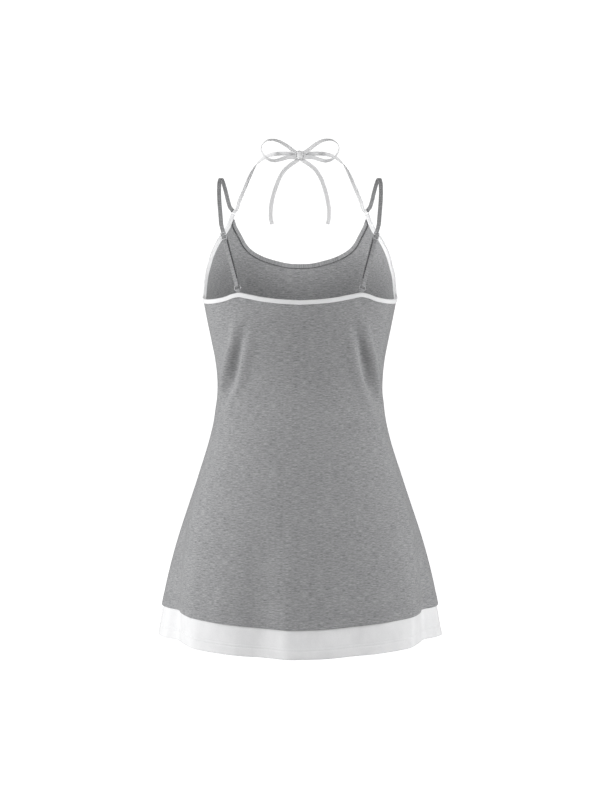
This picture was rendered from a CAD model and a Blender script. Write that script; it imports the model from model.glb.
# Sleeveless A-line dress in heathered jersey, filled out as if worn and seen from behind.
# Metres, +Z up. The back faces -Y and the front +Y; left is -X.
# Angles are degrees round the body from its side seam: 0 at the right seam, 180 at the left.
import math

import bmesh
import bpy
import numpy as np
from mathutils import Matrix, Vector


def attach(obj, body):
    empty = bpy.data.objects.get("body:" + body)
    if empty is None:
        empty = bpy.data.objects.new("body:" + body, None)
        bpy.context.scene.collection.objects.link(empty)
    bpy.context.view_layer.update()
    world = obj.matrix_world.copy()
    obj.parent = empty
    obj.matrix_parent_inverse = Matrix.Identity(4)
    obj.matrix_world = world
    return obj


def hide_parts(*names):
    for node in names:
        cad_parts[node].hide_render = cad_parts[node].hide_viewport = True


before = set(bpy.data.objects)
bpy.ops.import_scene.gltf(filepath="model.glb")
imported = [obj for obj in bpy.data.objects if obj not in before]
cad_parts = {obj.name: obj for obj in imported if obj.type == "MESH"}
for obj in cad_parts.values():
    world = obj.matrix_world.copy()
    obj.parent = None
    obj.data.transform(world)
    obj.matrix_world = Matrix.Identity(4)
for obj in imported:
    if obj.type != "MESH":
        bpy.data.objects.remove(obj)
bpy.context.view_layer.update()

MM = 0.001

# Cloth, trim and the gap left between pieces, as in the frame
WALL = 1.2 * MM
TRIM_WALL = 1.0 * MM
TIE_WALL = 1.2 * MM
GAP = 0.3 * MM
BAND_GAP = 0.5 * MM
BINDING_LEG = 5.2 * MM
STRAP_WIDTH = 6.4 * MM
TIE_WIDTH = 6.2 * MM

# Hems: height at the side seams, and how much lower the front (1) and back (-1) hang at the centre
GREY_HEM = (-659 * MM, {1: 9 * MM, -1: 17 * MM})
WHITE_HEM = (-703 * MM, {1: 9 * MM, -1: 15 * MM})
BAND_OVERLAP = 24 * MM

RING_RADIUS = 5.2 * MM
RING_WIRE = 0.65 * MM
RING_RISE = 9.8 * MM
SLIDER_RISE = 94.0 * MM
SLIDER_HEIGHT = 11.4 * MM
SLIDER_BAR = 1.3 * MM
SLIDER_DEPTH = 1.2 * MM
PEAK_ANGLE = 42.5
SLIDER_AIM = (-116.4, -66.0, -97.0)
RING_OUT = -(WALL + 4 * GAP + 2 * TRIM_WALL)
LAYER_STEP = TRIM_WALL + GAP
TURN = RING_WIRE + GAP + TRIM_WALL / 2
RING_SAG = RING_RADIUS - math.sqrt(RING_RADIUS**2 - (STRAP_WIDTH / 2 + RING_WIRE) ** 2)

# Level sections in mm: height, half width, depth in front, depth behind, squareness
SECTIONS = np.array((
    (-715, 223.0, 147, 161, 2.30),
    (-623, 206.9, 137, 150, 2.30),
    (-561, 191.4, 128, 141, 2.30),
    (-499, 171.3, 118, 130, 2.25),
    (-468, 160.4, 112, 124, 2.20),
    (-437, 149.6, 106, 117, 2.20),
    (-406, 140.3, 101, 106, 2.20),
    (-360, 130.5, 93, 90, 2.20),
    (-320, 127.7, 90, 83, 2.20),
    (-282, 131.0, 97, 87, 2.25),
    (-251, 137.0, 107, 93, 2.30),
    (-220, 143.4, 116, 99, 2.30),
    (-187, 149.5, 117, 101, 2.30),
    (-150, 152.0, 110, 99, 2.30),
    (-124, 151.0, 104, 96, 2.25),
    (-80, 145.0, 95, 90, 2.20),
    (-40, 139.0, 86, 84, 2.20),
))

# Edges of the panels: angle from the side seam in degrees, height in mm
ARMHOLE = np.array((
    (0.0, -184), (5.0, -181), (8.5, -172), (10.5, -160), (12.0, -148),
    (13.8, -136), (16.4, -114), (20.0, -94), (26.2, -70), (28.8, -47),
))
NECKLINE = np.array((
    (30.1, -48), (30.9, -56), (33.2, -66), (36.3, -75), (39.5, -84),
    (42.6, -93), (47.2, -102), (55.5, -111.5), (70.0, -120.4), (81.0, -124.3), (90.0, -125),
))
BACK_TOP = np.array((
    (0.0, -184), (7.0, -189), (14.5, -192), (26.5, -192.6), (33.5, -190.4), (38.5, -187),
    (42.5, -185.6), (50.0, -188.6), (60.0, -193), (75.0, -196.6), (90.0, -198),
))

# Folds: face (1 front, -1 back), side (1 right, -1 left), height and angle at the top and at the
# bottom, half width in degrees, and how far it stands out in mm. Those that reach HEM_FOLD_END
# open out at the hem, and the others fade at both ends.
HEM_FOLD_END = -715
FOLDS = (
    (-1, -1, -440, 6.0, -715, 23.5, 10.0, -18.0),
    (-1, 1, -445, 6.0, -715, 22.5, 9.0, -18.5),
    (-1, -1, -430, 16.0, -715, 37.0, 6.5, 1.5),
    (-1, 1, -445, 16.0, -715, 35.5, 6.0, 2.0),
    (-1, -1, -480, 66.0, -715, 69.0, 9.0, -6.0),
    (-1, 1, -500, 60.0, -715, 63.0, 9.0, -5.0),
    (-1, -1, -520, 83.0, -715, 84.0, 6.0, 3.5),
    (1, -1, -440, 6.0, -715, 23.0, 9.5, -16.5),
    (1, 1, -440, 6.0, -715, 25.0, 9.5, -17.5),
    (1, -1, -450, 16.0, -715, 37.5, 6.5, 2.0),
    (1, 1, -445, 17.0, -715, 39.5, 6.5, 2.0),
    (1, -1, -470, 52.0, -715, 56.0, 9.0, -7.0),
    (1, 1, -480, 60.0, -715, 64.0, 9.0, -7.0),
    (1, -1, -500, 74.0, -715, 78.0, 8.0, 5.0),
    (-1, -1, -190, 51.5, -385, 1.5, 4.4, 7.5),
    (-1, 1, -188, 51.0, -387, 1.0, 4.4, 7.2),
    (-1, -1, -205, 50.0, -395, 11.0, 3.6, -6.0),
    (-1, 1, -203, 49.5, -397, 11.0, 3.6, -5.8),
    (-1, -1, -208, 56.0, -400, 20.0, 4.4, 5.0),
    (-1, 1, -206, 56.5, -402, 20.5, 4.4, 5.0),
    (1, -1, -225, 44.0, -345, 12.0, 4.8, 4.0),
    (1, 1, -228, 45.0, -350, 12.0, 4.8, 4.2),
    (1, -1, -238, 51.0, -358, 23.0, 4.8, -3.4),
    (1, 1, -240, 52.0, -362, 24.0, 4.8, -3.4),
)

# Finer creases, in the same columns
CREASES = (
    (-1, -1, -470, 11.0, -715, 18.5, 3.4, -2.8),
    (-1, -1, -470, 16.0, -715, 26.5, 3.6, 2.6),
    (-1, 1, -470, 10.0, -715, 17.5, 3.4, -3.2),
    (-1, 1, -470, 15.0, -715, 25.0, 3.6, 2.8),
    (-1, -1, -432, 69.0, -500, 66.0, 1.6, -1.1),
    (-1, 1, -428, 66.0, -500, 69.0, 1.6, -1.1),
    (-1, -1, -300, 82.0, -352, 82.5, 1.4, -0.8),
    (-1, -1, -300, 30.0, -392, 17.0, 2.6, 1.0),
    (-1, 1, -305, 30.0, -396, 17.0, 2.6, 1.0),
    (-1, -1, -500, 27.0, -690, 30.0, 2.8, -1.2),
    (-1, 1, -505, 28.0, -690, 31.0, 2.8, -1.2),
    (-1, -1, -560, 48.0, -706, 50.0, 3.6, 1.4),
    (-1, 1, -575, 46.0, -706, 49.0, 3.6, 1.4),
    (-1, 1, -560, 80.0, -706, 81.0, 3.4, -1.2),
    (1, -1, -436, 68.0, -525, 65.0, 3.6, -1.0),
    (1, 1, -440, 64.0, -530, 68.0, 3.6, -1.0),
    (1, -1, -206, 34.0, -300, 22.0, 2.4, -1.2),
    (1, 1, -210, 35.0, -304, 22.0, 2.4, -1.2),
    (1, -1, -300, 30.0, -394, 18.0, 2.6, 1.0),
    (1, 1, -306, 31.0, -398, 18.0, 2.6, 1.0),
    (1, -1, -560, 40.0, -706, 42.0, 3.2, 1.4),
    (1, 1, -560, 44.0, -706, 47.0, 3.2, 1.3),
    (1, 1, -560, 80.0, -706, 82.0, 3.4, -1.3),
)

# Strap, left, above its slider, in mm, from the front peak over the shoulder
STRAP_ROUTE = (
    (-111.5, 56.6, -37.4), (-114.2, 50.5, -28.4), (-116.1, 43.0, -19.6), (-118.3, 32.0, -10.6),
    (-120.6, 16.0, -2.8), (-122.4, 0.0, -0.5), (-123.9, -15.0, -8.5), (-123.8, -29.0, -24.5),
    (-122.6, -41.5, -42.0), (-120.6, -52.0, -61.5), (-118.9, -59.6, -79.0),
)

# Halter tie, left, from the front peak to the knot at the nape: a point in mm, then the way that
# the face away from the body looks
HALTER_ROUTE = (
    (-96.6, 51.5, -29.5, -0.30, 0.90, 0.30),
    (-90.2, 42.0, -16.5, -0.30, 0.88, 0.36),
    (-84.4, 31.0, -5.5, -0.34, 0.85, 0.40),
    (-75.5, 10.0, 9.7, -0.50, 0.70, 0.50),
    (-67.2, -8.0, 19.9, -0.80, 0.05, 0.60),
    (-60.4, -19.0, 24.4, -0.50, -0.75, 0.42),
    (-52.0, -28.0, 28.2, -0.45, -0.80, 0.38),
    (-41.2, -36.0, 30.4, -0.25, -0.94, 0.22),
    (-27.4, -42.5, 30.6, -0.12, -0.98, 0.12),
    (-14.0, -45.6, 29.8, -0.05, -1.00, 0.05),
    (-5.5, -46.4, 28.8, 0.00, -1.00, 0.00),
    (-2.5, -47.6, 28.2, 0.00, -1.00, 0.00),
)

# Bow: the knot, then rows in mm for the loops and tails, from the knot on: out from the middle and
# height on the left, the same on the right, depth, and the way the left one's face looks
KNOT_CENTRE = np.array((0.0, -50.0, 26.7)) * MM
KNOT_SIZE = np.array((10.0, 9.0, 14.0)) * MM
LOOP = (
    (3.0, 28.2, 3.0, 28.2, -50.8, 0.05, -0.99, 0.10),
    (6.6, 30.2, 6.6, 30.2, -52.4, 0.10, -0.99, 0.10),
    (12.0, 34.4, 13.5, 34.8, -53.0, 0.15, -0.96, 0.25),
    (21.0, 41.0, 24.5, 43.0, -54.0, 0.15, -0.90, 0.40),
    (31.5, 46.6, 33.0, 47.4, -55.0, 0.05, -0.80, 0.60),
    (41.5, 49.0, 42.5, 49.2, -55.5, -0.10, -0.62, 0.78),
    (50.5, 47.6, 51.5, 47.2, -55.5, -0.52, -0.35, 0.78),
    (56.8, 42.4, 57.4, 42.0, -55.5, -0.90, -0.20, 0.40),
    (58.6, 36.0, 58.8, 35.4, -55.5, -0.98, -0.15, -0.10),
    (56.0, 27.6, 55.6, 27.2, -55.0, -0.85, -0.30, -0.45),
    (49.5, 20.9, 49.0, 20.4, -54.5, -0.45, -0.45, -0.78),
    (40.5, 18.0, 40.5, 17.6, -54.0, -0.05, -0.60, -0.80),
    (29.5, 20.0, 29.5, 19.8, -53.4, 0.10, -0.80, -0.60),
    (18.0, 23.2, 18.5, 23.2, -52.8, 0.08, -0.95, -0.30),
    (5.4, 23.6, 5.4, 23.6, -52.2, 0.00, -1.00, 0.00),
    (2.4, 24.2, 2.4, 24.2, -51.0, 0.00, -1.00, 0.00),
)
TAIL = (
    (-0.4, 24.0, -0.2, 24.0, -48.6, 0.00, -1.00, 0.00),
    (4.2, 19.4, 4.6, 19.2, -49.2, 0.00, -1.00, 0.00),
    (12.5, 13.2, 13.5, 12.8, -51.5, -0.05, -1.00, 0.05),
    (21.5, 5.4, 22.5, 5.0, -54.0, -0.05, -0.99, 0.10),
    (29.0, -5.2, 29.6, -5.6, -56.0, -0.05, -0.99, 0.12),
    (34.6, -18.0, 34.8, -17.6, -58.0, -0.05, -0.99, 0.14),
    (38.9, -31.0, 38.6, -30.0, -60.0, -0.02, -0.99, 0.14),
    (42.6, -46.0, 41.8, -45.0, -62.0, 0.05, -0.99, 0.14),
    (44.2, -60.7, 43.8, -60.7, -64.0, 0.10, -0.98, 0.14),
    (44.0, -70.5, 43.4, -70.5, -65.2, 0.14, -0.98, 0.14),
    (42.2, -79.5, 41.6, -79.5, -66.0, 0.18, -0.97, 0.14),
)

# Slight unevenness that hanging jersey has everywhere: size in mm, then waves round the body, waves
# for each 100 mm down and start of the wave, then waves down and start of its swelling. It fades
# within so many degrees of a side seam.
SOFT_WAVES = (
    (0.34, 5.3, 1.7, 0.4, 1.3, 1.1),
    (0.26, 9.1, -2.3, 2.0, 2.1, 0.3),
    (0.14, 14.7, 4.1, 4.4, 0.0, math.pi / 2),
)
CALM_AT_SEAM = 6.0

# Half the gap between front and back at the side seams
SEAM_INSET = 0.03 * MM

# Bindings: shares of a leg's height, puff of the outer and inner leg, crown above the edge, and
# puckers with their spacing and swelling. Then the section's point at the foot of its inner leg,
# and the shortest leg that is kept.
BINDING_SHARES = (0.0, 0.12, 0.3, 0.6, 0.85)
CROWN_TURNS = (75, 50, 25, 0, -25, -50, -75)
OUTER_PUFF = 0.35 * MM
INNER_PUFF = 0.25 * MM
CROWN_RISE = 0.3 * MM
PUCKER = 0.08 * MM
PUCKER_SPACING = 5.1 * MM
PUCKER_SWELLING = 23.0 * MM
BINDING_FOOT = 16
SHORTEST_LEG = 1.0 * MM

# Steps for the cloth's slope, in degrees round the body and up it
TURN_STEP = 0.4
RISE_STEP = 1.5 * MM

# Strips: slight waves along them, and how far each kind is cupped across
STRIP_WAVE = 0.10 * MM
STRIP_WAVE_LENGTH = 17 * MM
TIE_CUP = 0.35 * MM
LOOP_CUP = 0.3 * MM

# Where strap and tie start at the peak: into the panel and along its edge. Above the ring the
# strap's returning layer goes aside, from a height on and over a length. Its seam lies beside it.
STRAP_START = (0.6 * MM, 3.6 * MM)
TIE_INSET = 1.9 * MM
TIE_RISES = (1.2 * MM, 4.4 * MM, 8.4 * MM)
TIE_BEND = 47.0
LAYER_ASIDE = 1.5 * MM
ASIDE_FROM = 16 * MM
ASIDE_OVER = 14 * MM
STRAP_SEAM_ASIDE = 0.4 * MM
SLIDER_ROUNDING = 0.42 * MM

# Twin-needle hems: height of the rows of stitches, of the cloth turned up behind them and of the
# rolled edge, and how far the relief goes in or out
HEM_STITCHES = (13.2 * MM, 16.4 * MM)
TURNED_UP = 16.0 * MM
TURNED_UP_FADE = 2.4 * MM
TURNED_UP_STEP = 0.45 * MM
GROOVE_WIDTH = 0.8 * MM
GROOVE_DEPTH = 0.42 * MM
EDGE_ROLL = 0.35 * MM
EDGE_ROLL_HEIGHT = 0.8 * MM
BAND_OUT = -WALL - BAND_GAP - 0.35 * MM

# Stitches: length, space and thread radius
HEM_STITCH = (2.5 * MM, 0.5 * MM, 0.26 * MM)
NECKLINE_STITCH = (2.2 * MM, 0.2 * MM, 0.42 * MM)
STRAP_STITCH = (3.0 * MM, 0.1 * MM, 0.8 * MM)
THREAD_LIFT = 0.05 * MM

# Along a stitch: share of its length, then width and height as shares of the thread's radius
STITCH_SHAPE = ((0.0, 0.3, -0.5), (0.14, 0.9, 0.1), (0.5, 1.0, 0.4), (0.86, 0.9, 0.1), (1.0, 0.3, -0.5))
STITCH_SIDES = 6

# Grid of a dressed panel, in columns from a seam to the centre
ARMHOLE_SPANS = 36
PEAK_SPANS = 4
NECKLINE_SPANS = 40
COLUMNS = ARMHOLE_SPANS + PEAK_SPANS + NECKLINE_SPANS
CROWDING = 1.3
PLAIN_ROWS = 0.3
UPPER_ROWS = 150
HEM_ROWS = np.array((0, 0.4, 1.2, 3, 6, 9, 11, 12.2, 13.2, 14.2, 15.4, 16.4, 17.4, 19, 21.5, 24)) * MM

# A height above a hem at which its relief is gone
FAR_ABOVE = 1.0

# Knit: width of a wale and height of a course
WALE = 1.1 * MM
COURSE = 0.9 * MM
RELIEF = 0.16 * MM


class Value:
    """A shader socket used in Python sums, each of which adds its Math node."""

    def __init__(self, nodes, socket):
        self.nodes = nodes
        self.socket = socket

    def __add__(self, other):
        return self.nodes.math("ADD", self, other)

    def __sub__(self, other):
        return self.nodes.math("SUBTRACT", self, other)

    def __rsub__(self, other):
        return self.nodes.math("SUBTRACT", other, self)

    def __mul__(self, other):
        return self.nodes.math("MULTIPLY", self, other)

    def __truediv__(self, other):
        return self.nodes.math("DIVIDE", self, other)

    def __rtruediv__(self, other):
        return self.nodes.math("DIVIDE", other, self)

    __radd__ = __add__
    __rmul__ = __mul__


class Finish:
    """A material whose nodes are added one by one to its Principled shader."""

    def __init__(self, name, **constants):
        self.material = bpy.data.materials.new(name)
        self.material.use_nodes = True
        self.tree = self.material.node_tree
        self.shader = self.tree.nodes["Principled BSDF"]
        for socket, value in constants.items():
            self.shader.inputs[socket.replace("_", " ")].default_value = value

    def node(self, kind, settings, inputs, output=0):
        """A node of a type, with its settings, then the values or links of its sockets."""
        made = self.tree.nodes.new("ShaderNode" + kind)
        for key, value in settings.items():
            if key == "stops":
                ramp = made.color_ramp.elements
                while len(ramp) < len(value):
                    ramp.new(0.5)
                for stop, (place, colour) in zip(ramp, value):
                    stop.position = place
                    stop.color = (*colour, 1.0)
            else:
                setattr(made, key, value)
        for key, value in inputs.items():
            if isinstance(value, Value):
                self.tree.links.new(value.socket, made.inputs[key])
            else:
                made.inputs[key].default_value = value
        return Value(self, made.outputs[output])

    def math(self, operation, *values):
        return self.node("Math", {"operation": operation}, dict(enumerate(values)))

    def feed(self, socket, value):
        self.tree.links.new(value.socket, self.shader.inputs[socket])

    def noise(self, place, cycles, detail=2.0, rough=0.5):
        """Noise of so many cycles a metre each way over a vector."""
        scaled = self.node("VectorMath", {"operation": "MULTIPLY"}, {0: place, 1: cycles})
        inputs = {"Vector": scaled, "Scale": 1.0, "Detail": detail, "Roughness": rough}
        return self.node("TexNoise", {"noise_dimensions": "2D"}, inputs)

    def colour(self, mix, *stops):
        """Colour the surface by a ramp over a value from 0 to 1."""
        self.feed("Base Color", self.node("ValToRGB", {"stops": stops}, {0: mix}))

    def bump(self, height, strength):
        inputs = {"Height": height, "Distance": RELIEF, "Strength": strength}
        self.feed("Normal", self.node("Bump", {}, inputs))


def knit_height(finish, place):
    """Relief of the knit's small V stitches over a cloth's own coordinates, in metres."""
    across = finish.node("SeparateXYZ", {}, {0: place}, "X")
    along = finish.node("SeparateXYZ", {}, {0: place}, "Y")
    wale = finish.math("PINGPONG", across / WALE, 0.5)
    v_stitch = finish.math("SINE", (along / COURSE + wale * 1.3) * (2 * math.pi))
    return v_stitch * 0.3 + (wale * 4.0 - 1.0) * 0.5


def melange_jersey():
    """Heathered grey cotton jersey: pale and dark fibres drawn out along the courses."""
    finish = Finish(
        "melange_jersey", Roughness=0.93, Sheen_Weight=0.25, Sheen_Roughness=0.6, Specular_IOR_Level=0.18
    )
    place = finish.node("UVMap", {"uv_map": "cloth"}, {})
    streaks = finish.noise(place, (85, 860, 1), 3.0, 0.6)
    fibres = finish.noise(place, (240, 1900, 1), 1.0)
    cloud = finish.noise(place, (14, 40, 1))
    mix = (streaks - 0.5) * 1.25 + (fibres - 0.5) * 1.0 + (cloud - 0.5) * 0.14 + 0.5
    dark, middle, pale = (0.13, 0.132, 0.137), (0.255, 0.257, 0.262), (0.40, 0.40, 0.405)
    finish.colour(mix, (0.0, dark), (0.45, middle), (1.0, pale))
    finish.bump(knit_height(finish, place) + streaks * 0.8, 0.35)
    return finish.material


def plain_jersey():
    """White cotton jersey, with slight unevenness."""
    finish = Finish("plain_jersey", Roughness=0.9, Sheen_Weight=0.2, Specular_IOR_Level=0.2)
    place = finish.node("UVMap", {"uv_map": "cloth"}, {})
    cloud = finish.noise(place, (60, 40, 1), 3.0)
    fibres = finish.noise(place, (500, 500, 1))
    mix = (cloud - 0.5) * 0.7 + (fibres - 0.5) * 0.4 + 0.5
    finish.colour(mix, (0.0, (0.66, 0.662, 0.67)), (1.0, (0.80, 0.80, 0.805)))
    finish.bump(knit_height(finish, place) + cloud * 1.5, 0.4)
    return finish.material


def coated_wire():
    """Grey coated metal of the rings and sliders, a little scuffed."""
    finish = Finish("coated_wire", Metallic=0.55)
    scuffs = finish.noise(finish.node("TexCoord", {}, {}, "Object"), (900, 900, 900))
    finish.colour(scuffs, (0.3, (0.26, 0.26, 0.27)), (0.75, (0.36, 0.36, 0.37)))
    finish.feed("Roughness", scuffs * 0.3 + 0.22)
    return finish.material


def sewing_thread(name, colour):
    """Twisted thread of the stitching."""
    finish = Finish(name, Roughness=0.7)
    ply = finish.noise(finish.node("TexCoord", {}, {}, "Object"), (2400, 2400, 2400))
    finish.colour(ply, (0.3, tuple(c * 0.8 for c in colour)), (0.7, colour))
    return finish.material


GREY = melange_jersey()
WHITE = plain_jersey()
METAL = coated_wire()
GREY_THREAD = sewing_thread("grey_thread", (0.27, 0.27, 0.28))
SEAM_THREAD = sewing_thread("seam_thread", (0.07, 0.07, 0.075))
WHITE_THREAD = sewing_thread("white_thread", (0.80, 0.80, 0.81))


def smooth_at(table, places):
    """A table's other columns, smooth between its rows, at an array of places in its first."""
    keys = table[:, 0]
    values = table[:, 1:]
    slopes = np.gradient(values, keys, axis=0)
    places = np.asarray(places, dtype=float)
    row = np.clip(np.searchsorted(keys, places) - 1, 0, len(keys) - 2)
    span = (keys[row + 1] - keys[row])[..., None]
    t = np.clip((places[..., None] - keys[row][..., None]) / span, 0.0, 1.0)
    start = (2 * t**3 - 3 * t**2 + 1) * values[row] + (t**3 - 2 * t**2 + t) * span * slopes[row]
    end = (3 * t**2 - 2 * t**3) * values[row + 1] + (t**3 - t**2) * span * slopes[row + 1]
    return start + end


def ease(t):
    """Zero below 0, one above 1, and smooth between."""
    t = np.clip(t, 0.0, 1.0)
    return t * t * (3.0 - 2.0 * t)


def unit(vectors):
    """Vectors scaled to length one."""
    return vectors / np.linalg.norm(vectors, axis=-1, keepdims=True)


def lengths_along(points):
    """Distance of each point along a line from its first."""
    steps = np.linalg.norm(np.diff(points, axis=0), axis=1)
    return np.concatenate(([0.0], np.cumsum(steps)))


def even_rows(rows, place, count):
    """Rows spaced evenly along the smooth curve through the given rows, place giving their points."""
    spaced = np.array(rows, dtype=float)
    for samples in ((len(rows) - 1) * 24 + 1, count):
        table = np.column_stack((lengths_along(place(spaced)), spaced))
        spaced = smooth_at(table, np.linspace(0.0, table[-1, 0], samples))
    return spaced


def pushed_out(face, angle, height, table):
    """How far the folds of a table push the cloth out, in mm."""
    total = np.zeros(np.broadcast(angle, height).shape)
    for fold_face, side, top, top_angle, low, low_angle, half_width, out in table:
        if fold_face != face:
            continue
        down = (top - height) / (top - low)
        if low == HEM_FOLD_END:
            strength = ease(down) ** 0.8
        else:
            strength = np.sin(np.pi * np.clip(down, 0.0, 1.0)) ** 2
        centre = top_angle + (low_angle - top_angle) * down
        if side < 0:
            centre = 180.0 - centre
        total = total + out * strength * np.exp(-(((angle - centre) / half_width) ** 2))
    return total


def soft_waves(face, angle, height):
    """Slight unevenness of the hanging cloth, in mm."""
    turn = np.radians(angle) + (0.0 if face > 0 else math.pi)
    drop = height / 100.0
    total = 0.0
    for size, turns, slant, start, swelling, swelling_start in SOFT_WAVES:
        total = total + size * np.sin(turns * turn + slant * drop + start) * np.sin(
            swelling * drop + swelling_start
        )
    return total


def body(face, angle, height, dressed=True):
    """Points of the dress's outer face, or of the plain solid's when not dressed."""
    angle, height = np.broadcast_arrays(np.asarray(angle, float), np.asarray(height, float))
    half_width, front, behind, squareness = np.moveaxis(smooth_at(SECTIONS, height / MM), -1, 0)
    depth = front if face > 0 else behind
    turn = np.radians(angle)
    across = np.abs(np.cos(turn)) / half_width
    along = np.abs(np.sin(turn)) / depth
    radius = (across**squareness + along**squareness) ** (-1.0 / squareness)
    radius = radius + pushed_out(face, angle, height / MM, FOLDS)
    if dressed:
        calm = ease(np.minimum(angle, 180.0 - angle) / CALM_AT_SEAM)
        extra = pushed_out(face, angle, height / MM, CREASES) + soft_waves(face, angle, height / MM)
        radius = radius + extra * calm
    level = radius * MM
    return np.stack((np.cos(turn) * level, face * np.sin(turn) * level, height), axis=-1)


def body_normal(face, angle, height, dressed=True):
    """The outward direction of the dress's face."""
    after, before = (body(face, angle + step, height, dressed) for step in (TURN_STEP, -TURN_STEP))
    above, below = (body(face, angle, height + step, dressed) for step in (RISE_STEP, -RISE_STEP))
    return unit(np.cross(after - before, above - below) * face)


def on_body(face, points):
    """Angle and height of the points of the dress's face that lie straight in from some points."""
    return np.degrees(np.arctan2(face * points[..., 1], points[..., 0])), points[..., 2]


def both_halves(half):
    """Angle and height rows from the right seam to the centre, repeated on the left."""
    left = half[-2::-1] * (-1.0, 1.0) + (180.0, 0.0)
    return np.concatenate((half, left))


def edge_rows(face, table, spans):
    """Angle and height along a table's edge, evenly spaced on the dress."""
    rows = table * (1.0, MM)
    even = even_rows(rows, lambda some: body(face, some[:, 0], some[:, 1]), spans + 1)
    even[0] = rows[0]
    even[-1] = rows[-1]
    return even


def edge_frames(face, rows):
    """For the rows of an edge: points, the way along it, outward, and into the panel."""
    points = body(face, rows[:, 0], rows[:, 1])
    out = body_normal(face, rows[:, 0], rows[:, 1])
    along = np.gradient(points, axis=0)
    along = unit(along - out * np.sum(along * out, axis=1, keepdims=True))
    return points, along, out, np.cross(along, out) * face


def hem_angles():
    """Column angles at the hem, from the right seam to the left, crowded at the seams."""
    half = 90.0 * (np.arange(COLUMNS + 1) / COLUMNS) ** CROWDING
    return np.concatenate((half, 180.0 - half[-2::-1]))


def hem_row(face, hem, rise):
    """Angle and height of each column at a distance above a hem, lowest at the centre."""
    side_height, drop = hem
    angles = hem_angles()
    heights = side_height - drop[face] * np.sin(np.radians(angles)) ** 2 + rise
    return np.column_stack((angles, heights))


def between(low, high, t, bend):
    """A row between two rows: t of the way up, and bend of the way round."""
    share = np.array((bend, t))
    return low + (high - low) * share


def cloth(name, sections, marks, finish, slit=False, closed=False, sharp=40):
    """A piece of cloth through sections of points, rolled round each section, with its own flat
    coordinates in metres. A slit leaves the first and last points of each section unjoined, and a
    closed piece joins its last section to its first."""
    rings, count = sections.shape[:2]
    index = np.arange(rings * count).reshape(rings, count)
    a, b = (index, np.roll(index, -1, axis=0)) if closed else (index[:-1], index[1:])
    c, d = np.roll(b, -1, axis=1), np.roll(a, -1, axis=1)
    if slit:
        a, b, c, d = (part[:, :-1] for part in (a, b, c, d))
    faces = np.stack((a, b, c, d), axis=-1).reshape(-1, 4).tolist()
    if not closed:
        for ring, turned in ((0, False), (rings - 1, True)):
            for k in range((count - 1) // 2):
                far = count - 1 - k
                corners = [index[ring, j] for j in (k, k + 1, far - 1, far)]
                corners = [int(corner) for corner in dict.fromkeys(corners)]
                faces.append(corners[::-1] if turned else corners)
    data = bpy.data.meshes.new(name)
    data.from_pydata(sections.reshape(-1, 3).tolist(), [], faces)
    layer = data.uv_layers.new(name="cloth")
    vertex = np.empty(len(data.loops), dtype=int)
    data.loops.foreach_get("vertex_index", vertex)
    layer.data.foreach_set("uv", marks.reshape(-1, 2)[vertex].astype(np.float32).ravel())
    return shown(name, data, finish, sharp)


def shown(name, data, finish, sharp=40):
    """Turn a mesh right side out and show it as a piece of the dress."""
    mesh = bmesh.new()
    mesh.from_mesh(data)
    if mesh.calc_volume(signed=True) < 0.0:
        bmesh.ops.reverse_faces(mesh, faces=mesh.faces)
    mesh.to_mesh(data)
    mesh.free()
    data.materials.append(finish)
    data.shade_smooth()
    data.set_sharp_from_angle(angle=math.radians(sharp))
    return placed(name, data)


def placed(name, data):
    """An object of a mesh, in its finish's slot and on the dress's body."""
    item = bpy.data.objects.new(name, data)
    bpy.context.scene.collection.objects.link(item)
    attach(item, "root")
    return item


def flat_marks(sections):
    """Flat coordinates of sections along a strip: distance round each, and along the strip."""
    steps = np.linalg.norm(np.diff(sections[:1], axis=1), axis=2)[0]
    across = np.concatenate(([0.0], np.cumsum(steps)))
    along = lengths_along(sections.mean(axis=1))
    return np.stack(np.broadcast_arrays(across[None, :], along[:, None]), axis=-1)


def hem_relief(rise, edge_roll):
    """How far the cloth stands out near a twin-needle hem, at a height above it."""
    turned_up = TURNED_UP_STEP * (1.0 - ease((rise - TURNED_UP) / TURNED_UP_FADE))
    grooves = sum(-GROOVE_DEPTH * np.exp(-(((rise - row) / GROOVE_WIDTH) ** 2)) for row in HEM_STITCHES)
    return turned_up + grooves - edge_roll * np.exp(-rise / EDGE_ROLL_HEIGHT)


def layered(name, face, grid, rises, out, finish):
    """A dressed wall on a grid of rows of angle and height, closed round its edges."""
    angles = grid[..., 0]
    heights = grid[..., 1]
    ways = body_normal(face, angles, heights)
    relief = hem_relief(rises, EDGE_ROLL)[:, None, None]
    outside = body(face, angles, heights) + ways * (out + relief)
    inside = body(face, angles, heights) + ways * (out - WALL + 0.25 * relief)
    for side in (outside, inside):
        side[:, (0, -1), 1] = face * SEAM_INSET
    middle = outside.shape[1] // 2
    steps = np.linalg.norm(np.diff(outside, axis=1), axis=2)
    across = np.concatenate((np.zeros((len(outside), 1)), np.cumsum(steps, axis=1)), axis=1)
    across = across - across[:, middle : middle + 1]
    marks = np.stack((across, heights), axis=-1)
    sections = np.concatenate((outside, inside[::-1])).transpose(1, 0, 2)
    both = np.concatenate((marks, marks[::-1])).transpose(1, 0, 2)
    return cloth(name, sections, both, finish)


def rises_above(count):
    """Height of each row above its hem, and far above it where a row lies past the hem's rows."""
    return np.concatenate((HEM_ROWS, np.full(count - len(HEM_ROWS), FAR_ABOVE)))


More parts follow.
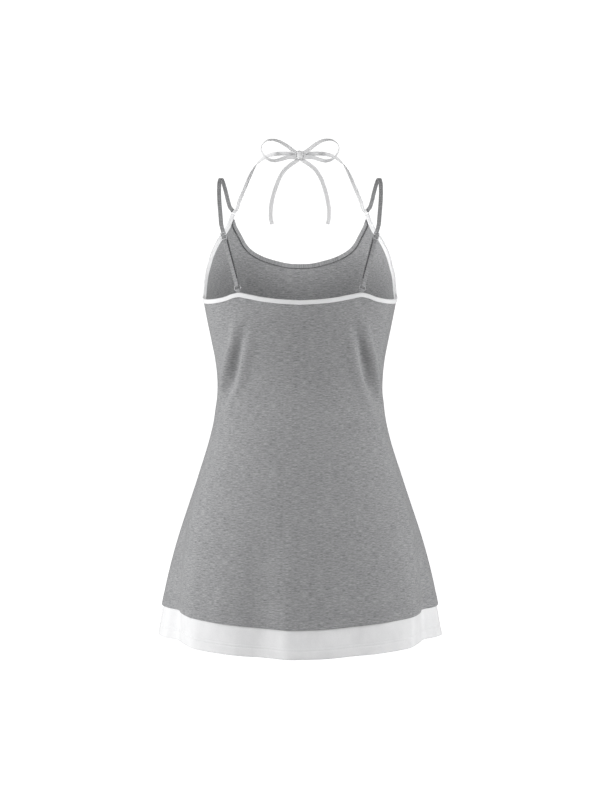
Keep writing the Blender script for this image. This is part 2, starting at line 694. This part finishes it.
def dressed_panel(name, face, top, second):
    """A grey panel from its hem up to a top edge, whose rows and second rows are given."""
    rows = [hem_row(face, GREY_HEM, rise) for rise in HEM_ROWS]
    covered = rows[-1]
    for t in np.linspace(0.0, 1.0, UPPER_ROWS + 1)[1:]:
        rows.append(between(covered, second, t, ease((t - PLAIN_ROWS) / (1.0 - PLAIN_ROWS))))
    rows.append(top)
    return layered(name, face, np.array(rows), rises_above(len(rows)), 0.0, GREY)


def dressed_band(name, face):
    """The white band inside the grey hem, hanging below it."""
    low = hem_row(face, WHITE_HEM, 0.0)
    grey = hem_row(face, GREY_HEM, 0.0)
    drop = float(np.mean(grey[:, 1] - low[:, 1]))
    shares = np.concatenate((HEM_ROWS / drop, np.linspace(HEM_ROWS[-1] / drop, 1.0, 8)[1:]))
    rows = [between(low, grey, t, 0.0) for t in shares]
    rows += [hem_row(face, GREY_HEM, rise) for rise in np.linspace(0.0, BAND_OVERLAP, 7)[1:]]
    return layered(name, face, np.array(rows), rises_above(len(rows)), BAND_OUT, WHITE)


def inset_rows(face, rows, opposite):
    """Rows one binding's depth inside an edge, or less where the opposite edge is near."""
    points, _, _, into = edge_frames(face, rows)
    depth = np.full(len(rows), BINDING_LEG)
    if opposite is not None:
        apart = np.linalg.norm(points[:, None] - opposite[None], axis=2).min(axis=1)
        depth = np.minimum(depth, 0.45 * apart)
    angle, height = on_body(face, points + into * depth[:, None])
    angle = np.where(np.isin(rows[:, 0], (0.0, 90.0)), rows[:, 0], angle)
    return np.column_stack((angle, height))


def binding_piece(name, face, rows, finish, legs=None):
    """A binding rolled over an edge's rows, with its sections: outer leg, crown and inner leg."""
    points, _, out, into = edge_frames(face, rows)
    legs = np.full(len(rows), BINDING_LEG) if legs is None else legs
    low_angle, low_height = on_body(face, points + into * legs[:, None])
    seam = np.isin(rows[:, 0], (0.0, 180.0))
    low_angle = np.where(seam, rows[:, 0], low_angle)
    low = body(face, low_angle, low_height)
    low_out = body_normal(face, low_angle, low_height)
    turns = lengths_along(points)[:, None] * 2 * np.pi
    pucker = PUCKER * np.sin(turns / PUCKER_SPACING) * np.sin(turns / PUCKER_SWELLING + 0.7)

    def leg(shares, level, puff, ripple):
        """Points of one leg at shares of its height, so far out and puffed."""
        line = []
        for t in shares:
            way = unit(low_out + (out - low_out) * t)
            swell = puff * math.sin(math.pi * min(t * 1.15 + 0.1, 1.0)) + ripple
            line.append(low + (points - low) * t + way * (level + swell))
        return line

    def crown(outer, inner, rise):
        """Points round the crown, from its outer to its inner side."""
        line = []
        for swing in np.radians(CROWN_TURNS):
            level = (outer + inner) / 2 + (outer - inner) / 2 * math.sin(swing)
            line.append(points + out * level - into * rise * math.cos(swing))
        return line

    outer = GAP + TRIM_WALL
    skin = leg(BINDING_SHARES, outer, OUTER_PUFF, pucker)
    skin += crown(outer, -WALL - outer, outer + CROWN_RISE)
    skin += leg(BINDING_SHARES[::-1], -WALL - outer, -INNER_PUFF, 0.0)
    lining = leg(BINDING_SHARES, GAP, 0.0, 0.0) + crown(GAP, -WALL - GAP, GAP)
    lining += leg(BINDING_SHARES[::-1], -WALL - GAP, 0.0, 0.0)
    sections = np.stack(skin + lining[::-1], axis=1)
    sections[seam, :, 1] = face * SEAM_INSET
    return cloth(name, sections, flat_marks(sections), finish), sections


def mirrored(item, name):
    """A copy of a piece on the other side of the dress."""
    data = item.data.copy()
    data.name = name
    data.transform(((-1, 0, 0, 0), (0, 1, 0, 0), (0, 0, 1, 0), (0, 0, 0, 1)))
    mesh = bmesh.new()
    mesh.from_mesh(data)
    bmesh.ops.reverse_faces(mesh, faces=mesh.faces)
    mesh.to_mesh(data)
    mesh.free()
    return placed(name, data)


def strip(name, points, ways, width, thickness, finish, cup=0.0):
    """A folded strip along points, its flat side looking the given ways, slit where its edges meet."""
    along = unit(np.gradient(points, axis=0))
    flat = unit(ways - along * np.sum(ways * along, axis=1, keepdims=True))
    across = np.cross(along, flat)
    low = -thickness / 2
    half = width / 2 + low
    outline = [(half * k / 4, low) for k in range(5)]
    for side, turns in ((1, (-60, -30, 0, 30, 60)), (-1, (120, 150, 180, 210, 240))):
        for swing in np.radians(turns):
            outline.append((side * half - low * math.cos(swing), -low * math.sin(swing)))
        if side > 0:
            outline += [(half * (1 - k / 4), -low) for k in range(9)]
    outline += [(-half * (1 - k / 4), low) for k in range(5)]
    outline = np.array(outline)
    bowed = outline[:, 1] + cup * ((outline[:, 0] / (width / 2)) ** 2 - 0.4)
    waves = STRIP_WAVE * np.sin(lengths_along(points) * 2 * np.pi / STRIP_WAVE_LENGTH + 1.0)
    lift = bowed[None, :] + waves[:, None]
    sections = points[:, None] + across[:, None] * outline[None, :, :1] + flat[:, None] * lift[..., None]
    return cloth(name, sections, flat_marks(sections), finish, slit=True)


def tie(name, rows, spans, cup):
    """A narrow white tie through rows of a point and the way its face looks, in mm."""
    even = even_rows(rows, lambda some: some[:, :3], spans + 1)
    return strip(name, even[:, :3] * MM, even[:, 3:], TIE_WIDTH, TIE_WALL, WHITE, cup)


def bow_rows(table, side):
    """Rows of points and ways for one side of the bow, left being -1."""
    rows = np.array(table)
    out, height = rows[:, :2].T if side < 0 else rows[:, 2:4].T
    return np.column_stack((side * out, rows[:, 4], height, -side * rows[:, 5], rows[:, 6:]))


def strap_frame():
    """Where the left ring's tab meets the back's edge, and the ways along, out and across there."""
    angle = 180.0 - PEAK_ANGLE
    height = float(smooth_at(BACK_TOP, PEAK_ANGLE)[0]) * MM
    base = body(-1, angle, height, False)
    out = body_normal(-1, angle, height, False)
    along = unit(np.array(SLIDER_AIM) * MM - base)
    out = unit(out - along * np.dot(out, along))
    return base, along, out, np.cross(along, out)


def half_turn(centre, up):
    """Along and out offsets round a ring's wire, from its outer side to its inner side."""
    turns = [math.pi * i / 8 for i in range(9)]
    return [(centre + up * TURN * math.sin(a), TURN * math.cos(a)) for a in turns]


def strap_low_profile():
    """Along and out offsets of the doubled run, from above the slider round the ring and back."""
    bar = SLIDER_DEPTH / 2 + GAP + TRIM_WALL / 2
    slider_out = -LAYER_STEP / 2 + bar
    reach = (SLIDER_HEIGHT - SLIDER_BAR) / 2 / MM
    over = [(7.4, -1), (reach + 1, -1), (reach - 1, -1), (1, 1), (-1, 1), (1 - reach, -1), (-reach - 1.2, -1)]
    down = [(SLIDER_RISE + step * MM, slider_out + side * bar) for step, side in over]
    ring_top = RING_RISE + RING_RADIUS - RING_SAG
    outer = [(ring_top + rise * MM, LAYER_STEP / 2) for rise in (72, 64, 55, 45, 35, 25, 15, 10, 6.5)]
    outer.append((ring_top + RING_SAG + 0.4 * MM, TURN))
    inner = [(along, -out) for along, out in reversed(outer)]
    behind = slider_out - bar
    end = [
        (-reach - 1, behind - LAYER_STEP),
        (1.2 - reach, behind - LAYER_STEP),
        (-1.4, behind - 0.2 * MM),
        (0.6, behind),
    ]
    end = [(SLIDER_RISE + step * MM, out) for step, out in end]
    return down + outer + half_turn(ring_top, -1) + inner + end


def left_strap():
    """The left strap: over the shoulder, through the slider, round the ring and up again."""
    base, along, out, across = strap_frame()
    route = even_rows(STRAP_ROUTE, lambda some: some, 90) * MM
    peak, way, peak_out, into = (part[-1] for part in edge_frames(1, edge_rows(1, ARMHOLE, ARMHOLE_SPANS)))
    start = peak + into * STRAP_START[0] + way * STRAP_START[1] - peak_out * WALL / 2
    upper = np.concatenate(([start * (-1, 1, 1)], route))
    profile = np.array(strap_low_profile())
    turned = np.arange(len(profile)) > np.argmin(profile[:, 0])
    aside = LAYER_ASIDE * ease((profile[:, 0] - ASIDE_FROM) / ASIDE_OVER) * turned
    low = base + along * profile[:, :1] + out * (RING_OUT + profile[:, 1:]) + across * aside[:, None]
    path = np.concatenate((upper, low))
    level = np.where(np.arange(len(path))[:, None] < len(upper), (1.0, 0.0, 0.0), across)
    faces = unit(np.cross(unit(np.gradient(path, axis=0)), level))
    return strip("strap_left_cloth", path, faces, STRAP_WIDTH, TRIM_WALL, GREY)


def left_strap_seam():
    """The dark seam down the inner side of the left strap's doubled run."""
    base, along, out, across = strap_frame()
    inner_side = across * math.copysign(1.0, across[0])
    rises = np.linspace(RING_RISE + 14 * MM, SLIDER_RISE - SLIDER_HEIGHT / 2, 40)[:, None]
    beside = inner_side * (STRAP_WIDTH / 2 + STRAP_SEAM_ASIDE)
    line = base + along * rises + beside + out * (RING_OUT + LAYER_STEP)
    ways = np.repeat(unit(out + inner_side)[None], len(line), axis=0)
    return stitching("strap_seam_left", [(line, ways)], STRAP_STITCH, SEAM_THREAD)


def left_ring_tab():
    """The tab that holds the left ring: a strip folded round its wire, inside the binding."""
    base, along, out, across = strap_frame()
    ring_low = RING_RISE - RING_RADIUS + RING_SAG
    leg = [(-4.4 * MM, LAYER_STEP / 2), (ring_low - RING_SAG - 1.8 * MM, LAYER_STEP / 2)]
    leg.append((ring_low - RING_SAG - 0.4 * MM, TURN))
    profile = leg + half_turn(ring_low, 1) + [(a, -o) for a, o in reversed(leg)]
    path = np.array([base + along * a + out * (RING_OUT + o) for a, o in profile])
    ways = unit(np.gradient(path, axis=0))
    return strip("ring_tab_left_cloth", path, np.cross(ways, across), STRAP_WIDTH, TRIM_WALL, GREY)


def left_ring():
    """The left wire ring, lying along the strap."""
    base, along, out, across = strap_frame()
    centre = base + along * RING_RISE + out * RING_OUT
    turn = np.linspace(0, 2 * np.pi, 65)[:-1, None]
    away = np.cos(turn) * along + np.sin(turn) * across
    spot = np.linspace(0, 2 * np.pi, 17)[:-1]
    reach = (RING_RADIUS + RING_WIRE * np.cos(spot))[None, :, None]
    sections = centre + away[:, None] * reach + out * (RING_WIRE * np.sin(spot))[None, :, None]
    marks = np.zeros((*sections.shape[:2], 2))
    return cloth("ring_left_wire", sections, marks, METAL, closed=True, sharp=80)


def left_slider():
    """The left slider: a frame with a bar across its middle, so two slots, its edges rounded."""
    base, along, out, across = strap_frame()
    bar = SLIDER_DEPTH / 2 + GAP + TRIM_WALL / 2
    centre = base + along * SLIDER_RISE + out * (RING_OUT - LAYER_STEP / 2 + bar)
    half_slot = STRAP_WIDTH / 2 + GAP
    columns = (-half_slot - SLIDER_BAR, -half_slot, half_slot, half_slot + SLIDER_BAR)
    top = SLIDER_HEIGHT / 2
    rows = (-top, SLIDER_BAR - top, -SLIDER_BAR / 2, SLIDER_BAR / 2, top - SLIDER_BAR, top)
    mesh = bmesh.new()
    verts = [
        [mesh.verts.new(centre + along * a + across * c - out * SLIDER_DEPTH / 2) for c in columns]
        for a in rows
    ]
    for r in range(5):
        for c in range(3):
            if c == 1 and r in (1, 3):
                continue
            mesh.faces.new((verts[r][c], verts[r][c + 1], verts[r + 1][c + 1], verts[r + 1][c]))
    lower = list(mesh.faces)
    grown = bmesh.ops.extrude_face_region(mesh, geom=lower, use_keep_orig=True)["geom"]
    raised = [part for part in grown if isinstance(part, bmesh.types.BMVert)]
    bmesh.ops.translate(mesh, vec=Vector(out) * SLIDER_DEPTH, verts=raised)
    bmesh.ops.recalc_face_normals(mesh, faces=mesh.faces)
    edges = [edge for edge in mesh.edges if edge.calc_face_angle(0.0) > 0.5]
    bmesh.ops.bevel(mesh, geom=edges, offset=SLIDER_ROUNDING, segments=3, profile=0.5, affect="EDGES")
    data = bpy.data.meshes.new("slider_left_frame")
    mesh.to_mesh(data)
    mesh.free()
    return shown("slider_left_frame", data, METAL, 35)


def left_halter_tie():
    """The left halter tie, which carries on from the armhole binding to the knot."""
    tip, along, out, into = (part[-1] for part in edge_frames(1, edge_rows(1, ARMHOLE, ARMHOLE_SPANS)))
    depth = -(WALL + 2 * GAP + TIE_WALL / 2)
    rows = []
    for rise in TIE_RISES:
        point = tip + into * TIE_INSET + along * rise + out * (depth - TIE_BEND * rise**2)
        rows.append((-point[0] / MM, point[1] / MM, point[2] / MM, -out[0], out[1], out[2]))
    return tie("halter_tie_left_cloth", rows + list(HALTER_ROUTE), 160, TIE_CUP)


def knot():
    """The knot: a tie wrapped round the middle of the bow, creased along its turns."""
    across = np.sin(np.linspace(-np.pi / 2, np.pi / 2, 33))
    turn = np.linspace(0, 2 * np.pi, 49)[:-1]
    shape = (np.abs(np.cos(turn)) ** 3 + np.abs(np.sin(turn)) ** 3) ** (-1 / 3)
    sections = []
    for x in across:
        pinch = max(1.0 - abs(x) ** 4.0, 0.003) ** 0.5
        crease = 1.0 - 0.03 * math.cos(x * 7.5) ** 4
        twist = 1.0 + 0.05 * np.sin(turn * 2 + x * 2.2)
        radius = shape * pinch * crease * twist / 2
        wide = np.full(len(turn), x / 2)
        sections.append(np.column_stack((wide, np.cos(turn) * radius, np.sin(turn) * radius)) * KNOT_SIZE)
    sections = np.array(sections) + KNOT_CENTRE
    marks = np.stack(np.broadcast_arrays(across[:, None] * 5 * MM, turn[None] * 6 * MM), axis=-1)
    return cloth("bow_knot_cloth", sections, marks, WHITE, sharp=70)


def stitching(name, lines, stitch, finish):
    """Single thread stitches that lie on the cloth, along lines of points and outward ways."""
    length, space, radius = stitch
    turns = [2 * math.pi * k / STITCH_SIDES for k in range(STITCH_SIDES)]
    verts = []
    faces = []
    for points, outs in lines:
        table = np.column_stack((lengths_along(points), points, outs))
        starts = np.arange(space, table[-1, 0] - length, length + space)
        first, last = (
            np.column_stack([np.interp(place, table[:, 0], column) for column in table[:, 1:].T])
            for place in (starts, starts + length)
        )
        along = unit(last[:, :3] - first[:, :3])
        out = unit(first[:, 3:] + last[:, 3:])
        side = np.cross(along, out)
        corner = np.arange(len(STITCH_SHAPE) * STITCH_SIDES * len(starts))
        corner = corner.reshape(len(STITCH_SHAPE), STITCH_SIDES, len(starts)) + sum(map(len, verts))
        for share, wide, sink in STITCH_SHAPE:
            middle = first[:, :3] + (last[:, :3] - first[:, :3]) * share + out * radius * sink
            verts += [middle + (side * math.cos(t) + out * math.sin(t)) * radius * wide for t in turns]
        for ring, after in zip(corner, corner[1:]):
            for k in range(STITCH_SIDES):
                n = (k + 1) % STITCH_SIDES
                faces.append(np.stack((ring[k], ring[n], after[n], after[k]), axis=1))
    data = bpy.data.meshes.new(name)
    data.from_pydata(np.concatenate(verts).tolist(), [], np.concatenate(faces).tolist())
    return shown(name, data, finish, 80)


def hem_stitch_lines(face, hem, out):
    """Points and outward ways of the two rows of stitches above a hem."""
    lines = []
    for rise in HEM_STITCHES:
        rows = hem_row(face, hem, rise)[3:-3]
        outs = body_normal(face, rows[:, 0], rows[:, 1])
        lift = out + hem_relief(rise, 0.0) + THREAD_LIFT
        lines.append((body(face, rows[:, 0], rows[:, 1]) + outs * lift, outs))
    return lines


def declare(node):
    """Say which node a piece of cloth stands for and how it was cut."""
    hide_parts(node)


def make_panels():
    """Front, back, hem bands and their stitching."""
    armhole = edge_rows(1, ARMHOLE, ARMHOLE_SPANS)
    neckline = edge_rows(1, NECKLINE, NECKLINE_SPANS)
    inner_armhole = inset_rows(1, armhole, body(1, *neckline.T))
    inner_neckline = inset_rows(1, neckline, body(1, *armhole.T))
    edges = []
    for lower, upper in ((armhole, neckline), (inner_armhole, inner_neckline)):
        peak = np.linspace(lower[-1], upper[0], PEAK_SPANS + 1)[1:-1]
        edges.append(both_halves(np.concatenate((lower, peak, upper))))
    angles = hem_angles()[: COLUMNS + 1]
    back_top = np.column_stack((angles, smooth_at(BACK_TOP, angles)[:, 0] * MM))
    back_edges = [both_halves(rows) for rows in (back_top, inset_rows(-1, back_top, None))]
    front = dressed_panel("front_cloth", 1, *edges)
    back = dressed_panel("back_cloth", -1, *back_edges)
    for face, word, panel in ((1, "front", front), (-1, "back", back)):
        band = dressed_band("hem_band_" + word + "_cloth", face)
        grey_lines = hem_stitch_lines(face, GREY_HEM, 0.0)
        grey = stitching("hem_stitches_" + word, grey_lines, HEM_STITCH, GREY_THREAD)
        white_lines = hem_stitch_lines(face, WHITE_HEM, BAND_OUT)
        white = stitching("band_stitches_" + word, white_lines, HEM_STITCH, WHITE_THREAD)
        declare(word + "_panel")
        declare("hem_band_" + word)


def make_bindings():
    """White bindings round the armholes and the back's top edge, a grey one round the neckline."""
    armhole = edge_rows(1, ARMHOLE, 90)
    neckline = edge_rows(1, NECKLINE, 120)
    back = edge_rows(-1, BACK_TOP, 110)
    piece, _ = binding_piece("back_binding_cloth", -1, both_halves(back), WHITE)
    declare("back_binding")
    right, _ = binding_piece("armhole_binding_right_cloth", 1, armhole, WHITE)
    left = mirrored(right, "armhole_binding_left_cloth")
    declare("armhole_binding_right")
    declare("armhole_binding_left")
    apart = body(1, *neckline.T)[:, None] - body(1, *armhole.T)[None]
    room = np.linalg.norm(apart, axis=2).min(axis=1)
    legs = np.minimum(BINDING_LEG, room - BINDING_LEG - 2 * GAP)
    kept = legs > SHORTEST_LEG
    legs = np.concatenate((legs[kept], legs[kept][-2::-1]))
    piece, sections = binding_piece("neckline_binding_cloth", 1, both_halves(neckline[kept]), GREY, legs)
    foot = sections[:, BINDING_FOOT]
    inward = -body_normal(1, *on_body(1, foot))
    seam = stitching("neckline_seam", [(foot + inward * 0.1 * MM, inward)], NECKLINE_STITCH, SEAM_THREAD)
    declare("neckline_binding")


def make_straps():
    """Straps, rings, sliders and tabs, made on the left and mirrored."""
    seam = left_strap_seam()
    seams = {"left": seam, "right": mirrored(seam, "strap_seam_right")}
    for make, node in (
        (left_strap, "strap"), (left_ring_tab, "ring_tab"), (left_ring, "ring"), (left_slider, "slider")
    ):
        piece = make()
        twin = mirrored(piece, piece.name.replace("left", "right"))
        for item, side in ((piece, "left"), (twin, "right")):
            if node == "strap":
                declare("strap_" + side)
            elif node == "ring_tab":
                declare("ring_tab_" + side)
            else:
                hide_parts(node + "_" + side)


def make_bow():
    """Halter ties, knot, loops and tails."""
    left = left_halter_tie()
    right = mirrored(left, "halter_tie_right_cloth")
    middle = knot()
    for item, side in ((left, "left"), (right, "right")):
        declare("halter_tie_" + side)
    declare("bow_knot")
    for side, word in ((-1, "left"), (1, "right")):
        loop = tie("bow_loop_" + word + "_cloth", bow_rows(LOOP, side), 140, LOOP_CUP)
        tail = tie("bow_tail_" + word + "_cloth", bow_rows(TAIL, side), 90, TIE_CUP)
        declare("bow_loop_" + word)
        declare("bow_tail_" + word)


# Studio: light from all round, brightness of the white that the camera sees, and the camera
AMBIENT = 0.02
WHITE_LIGHT = 1.15
FULL_WHITE = (1.0, 1.0, 1.0, 1.0)
FLOOR_HEIGHT = -1.25
FLOOR_REACH = 40.0
CAMERA_HEIGHT = -0.344
CAMERA_DISTANCE = 2.2
SEEN_HEIGHT = 1.24
SENSOR_WIDTH = 36.0

# Softboxes: place, aim, watts, width, height and spread in degrees
SOFTBOXES = (
    ("left_box", (-2.1, -0.25, -0.05), (0.0, 0.0, -0.35), 32.0, 0.6, 1.6, 180),
    ("left_front_box", (-1.8, -1.2, -0.1), (0.0, 0.0, -0.35), 32.0, 0.6, 1.6, 180),
    ("right_box", (2.1, -0.2, -0.05), (0.0, 0.0, -0.35), 25.0, 0.6, 1.6, 180),
    ("right_front_box", (1.8, -1.2, -0.1), (0.0, 0.0, -0.35), 28.0, 0.6, 1.6, 180),
    ("low_box", (0.0, -1.8, -1.0), (0.0, 0.0, -0.2), 6.0, 1.6, 0.3, 180),
    ("neck_box", (0.0, -0.03, -0.115), (0.0, 0.11, -0.135), 0.095, 0.2, 0.03, 180),
    ("front_box", (0.0, 2.2, -0.2), (0.0, 0.0, -0.35), 22.0, 1.2, 1.6, 180),
)


def studio():
    """A pale plain floor, soft light, and the camera level behind the dress."""
    data = bpy.data.meshes.new("floor")
    sides = ((-1, -1), (1, -1), (1, 1), (-1, 1))
    corners = [(FLOOR_REACH * x, FLOOR_REACH * y, FLOOR_HEIGHT) for x, y in sides]
    data.from_pydata(corners, [], [(0, 1, 2, 3)])
    floor = bpy.data.objects.new("floor", data)
    pale = (0.94, 0.94, 0.94, 1.0)
    glow = {"Emission_Color": FULL_WHITE, "Emission_Strength": WHITE_LIGHT}
    data.materials.append(Finish("floor_paint", Roughness=0.9, Base_Color=pale, **glow).material)
    bpy.context.scene.collection.objects.link(floor)
    floor.visible_diffuse = False
    floor.visible_glossy = False

    world = bpy.data.worlds.new("studio")
    bpy.context.scene.world = world
    world.use_nodes = True
    tree = world.node_tree
    surroundings = tree.nodes["Background"]
    backdrop = tree.nodes.new("ShaderNodeBackground")
    for background, strength in ((surroundings, AMBIENT), (backdrop, WHITE_LIGHT)):
        background.inputs["Color"].default_value = FULL_WHITE
        background.inputs["Strength"].default_value = strength
    seen = tree.nodes.new("ShaderNodeLightPath")
    choice = tree.nodes.new("ShaderNodeMixShader")
    tree.links.new(seen.outputs["Is Camera Ray"], choice.inputs[0])
    tree.links.new(surroundings.outputs[0], choice.inputs[1])
    tree.links.new(backdrop.outputs[0], choice.inputs[2])
    tree.links.new(choice.outputs[0], tree.nodes["World Output"].inputs["Surface"])

    for name, place, target, watts, width, height, spread in SOFTBOXES:
        lamp = bpy.data.lights.new(name, "AREA")
        lamp.shape = "RECTANGLE"
        lamp.size = width
        lamp.size_y = height
        lamp.energy = watts
        lamp.spread = math.radians(spread)
        item = bpy.data.objects.new(name, lamp)
        item.location = place
        aim = Vector(target) - Vector(place)
        item.rotation_euler = aim.to_track_quat("-Z", "Y").to_euler()
        item.visible_camera = False
        bpy.context.scene.collection.objects.link(item)
    bpy.context.scene.view_settings.view_transform = "Standard"

    lens = bpy.data.cameras.new("camera")
    lens.lens = SENSOR_WIDTH * CAMERA_DISTANCE / SEEN_HEIGHT
    camera = bpy.data.objects.new("camera", lens)
    camera.location = (0.0, -CAMERA_DISTANCE, CAMERA_HEIGHT)
    camera.rotation_euler = (math.pi / 2, 0.0, 0.0)
    bpy.context.scene.collection.objects.link(camera)
    bpy.context.scene.camera = camera


make_panels()
make_bindings()
make_straps()
make_bow()
studio()
